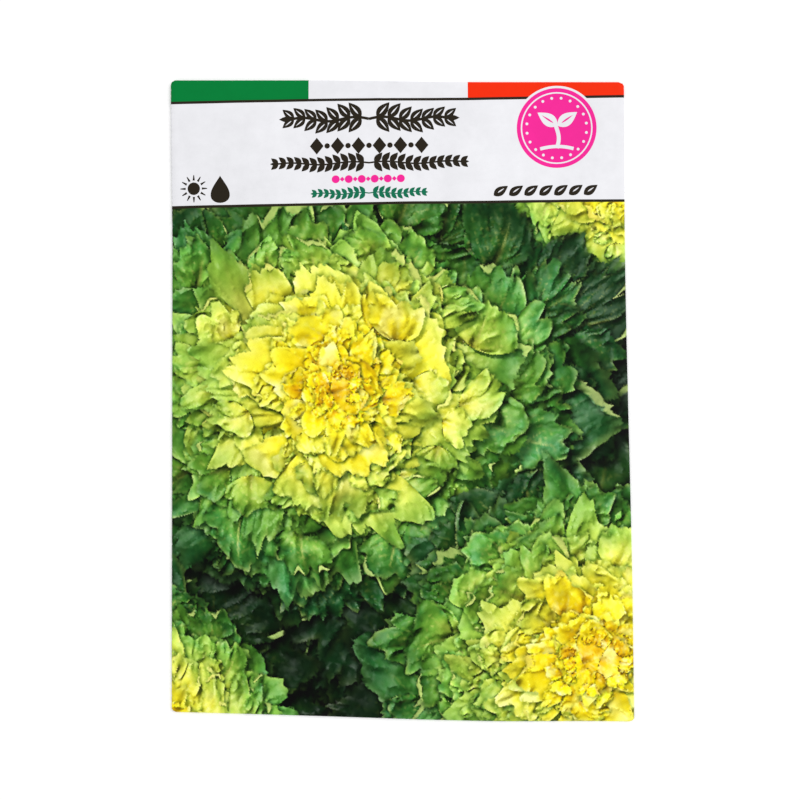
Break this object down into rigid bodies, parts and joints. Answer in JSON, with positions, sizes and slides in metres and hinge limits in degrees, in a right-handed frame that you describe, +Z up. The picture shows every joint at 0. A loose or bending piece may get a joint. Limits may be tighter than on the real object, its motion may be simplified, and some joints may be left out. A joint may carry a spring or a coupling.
{
  "type": "seed packet",
  "caption": "Sealed paper seed packet, one folded and glued sheet with a full-face print of salad greens, lying on its back with loose seeds inside.",
  "frame": {"origin": "under the middle of the packet, on the surface that it lies on", "axes": "+X across the packet, +Y towards its top edge, +Z up, out of the printed front"},
  "size_m": [0.0826, 0.1142, 0.0024],
  "materials": {
    "coated_paper": "matt coated white paper, printed on the outside",
    "paste": "dried clear paste",
    "seed_husk": "dry straw-brown seed husk"
  },
  "bodies": {
    "root": {"paper_envelope": "coated_paper", "left_seam_glue": "paste", "right_seam_glue": "paste", "closing_flap_glue": "paste", "seeds": "seed_husk"}
  },
  "joints": []
}
